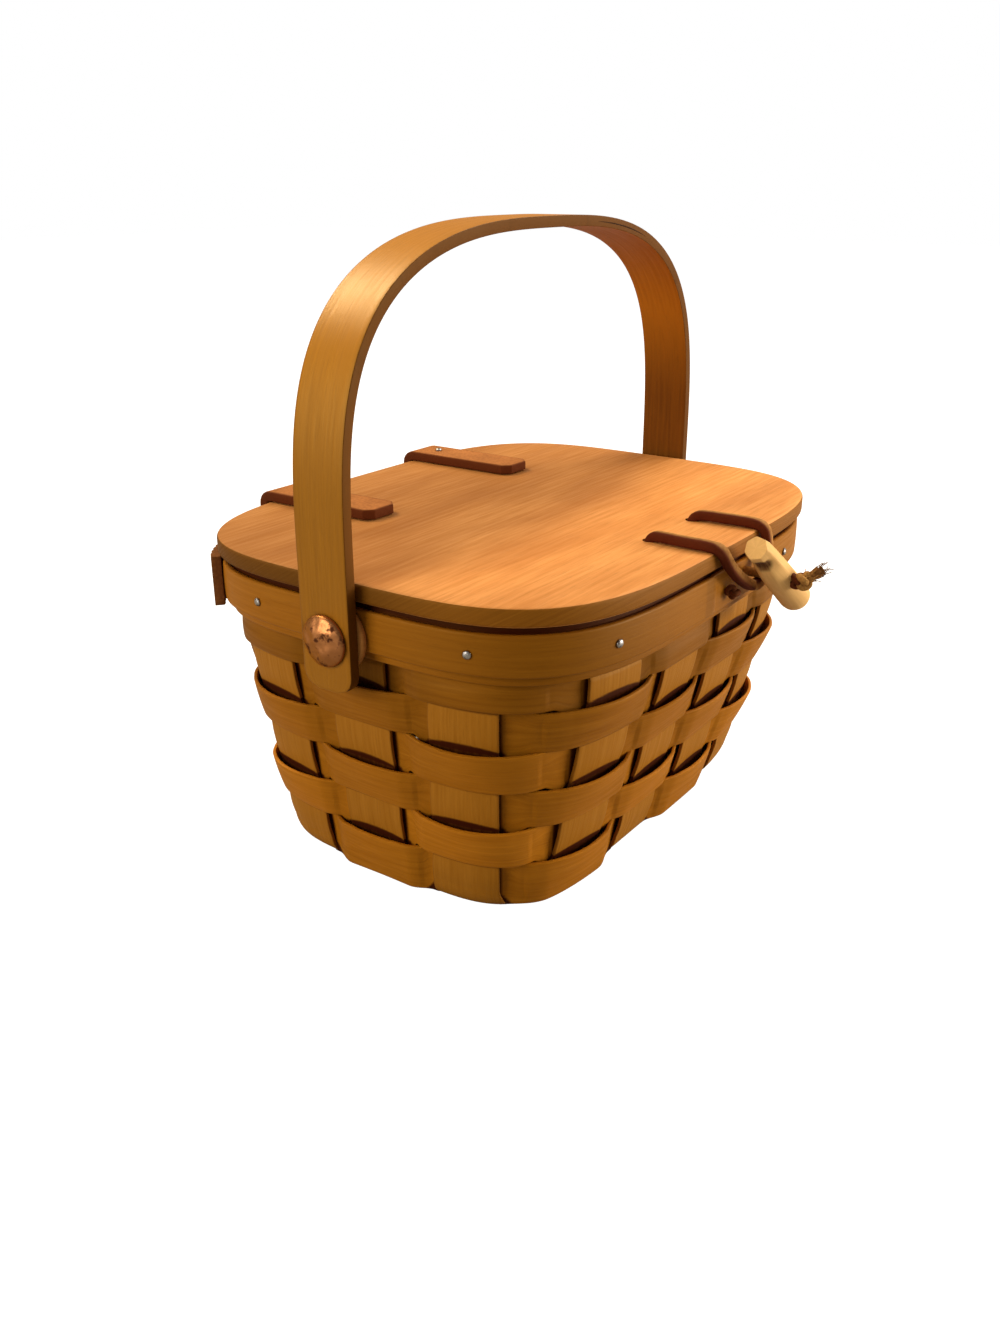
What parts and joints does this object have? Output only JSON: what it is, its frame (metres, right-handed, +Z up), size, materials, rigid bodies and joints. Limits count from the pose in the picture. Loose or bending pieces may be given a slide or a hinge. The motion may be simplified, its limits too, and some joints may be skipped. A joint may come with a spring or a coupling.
{
  "type": "basket purse",
  "caption": "Woven wood-splint basket purse with a flaring body, banded rim, flat lid on leather hinge straps, bentwood swing handle on copper rivets and a lace-and-peg closure.",
  "frame": {"origin": "on the floor under the middle of the base, on the flat underside of the middle base splint", "axes": "+Z up; +X from the left rivet to the right one, along the lid's length; the closure faces -Y and the hinge straps are at +Y"},
  "size_m": [0.2176, 0.1894, 0.2057],
  "materials": {
    "upright_wood": "stained splint, satin, grain along its length",
    "weaver_wood": "stained splint, satin, grain along its length",
    "rim_wood": "stained band, satin",
    "handle_wood": "bent hardwood strip, satin varnish",
    "lid_wood": "light hardwood board, satin",
    "peg_wood": "whittled, bare",
    "strap_leather": "thick tan hide, dark cut edges",
    "lace_leather": "thin dark red-brown lace",
    "copper": "hammered copper, aged",
    "nickel": "small domed tack heads, nickel"
  },
  "bodies": {
    "basket": {"splint_x_1": "upright_wood", "splint_x_2": "upright_wood", "splint_x_3": "upright_wood", "splint_y_1": "upright_wood", "splint_y_2": "upright_wood", "splint_y_3": "upright_wood", "splint_y_4": "upright_wood", "weaver_row_0": "weaver_wood", "weaver_row_1": "weaver_wood", "weaver_row_2": "weaver_wood", "weaver_row_3": "weaver_wood", "weaver_row_4": "weaver_wood", "weaver_row_5": "weaver_wood", "inner_band": "rim_wood", "outer_band": "rim_wood", "trim_band": "rim_wood", "spacer_left": "rim_wood", "spacer_right": "rim_wood", "corner_tab": "strap_leather", "toggle_thong": "lace_leather", "rivet_left": "copper", "rivet_right": "copper", "rivet_burr_left": "copper", "rivet_burr_right": "copper", "rim_tack_1": "nickel", "rim_tack_2": "nickel", "rim_tack_3": "nickel", "rim_tack_4": "nickel", "rim_tack_5": "nickel", "rim_tack_6": "nickel", "rim_tack_7": "nickel", "rim_tack_8": "nickel", "corner_tab_tack": "nickel", "strap_tack_rim_left": "nickel", "strap_tack_rim_right": "nickel"},
    "handle": {"handle": "handle_wood"},
    "lid": {"lid": "lid_wood", "hinge_strap_left": "strap_leather", "hinge_strap_right": "strap_leather", "strap_tack_lid_left": "nickel", "strap_tack_lid_right": "nickel", "closure_loop": "lace_leather"},
    "toggle": {"toggle": "peg_wood"}
  },
  "joints": [
    {"name": "handle_swing", "type": "hinge", "parent": "basket", "child": "handle", "pos_m": [0, 0, 0.0912], "axis": [1, 0, 0], "range_deg": [-100, 100]},
    {"name": "lid_hinge", "type": "hinge", "parent": "basket", "child": "lid", "pos_m": [0, 0.0805, 0.103], "axis": [-1, 0, 0], "range_deg": [0, 16], "deforming": ["hinge_strap_left", "hinge_strap_right", "closure_loop"]},
    {"name": "toggle_turn", "type": "hinge", "parent": "basket", "child": "toggle", "pos_m": [0.0118, -0.0916, 0.0965], "axis": [0, 1, 0], "range_deg": [-35, 50]}
  ]
}
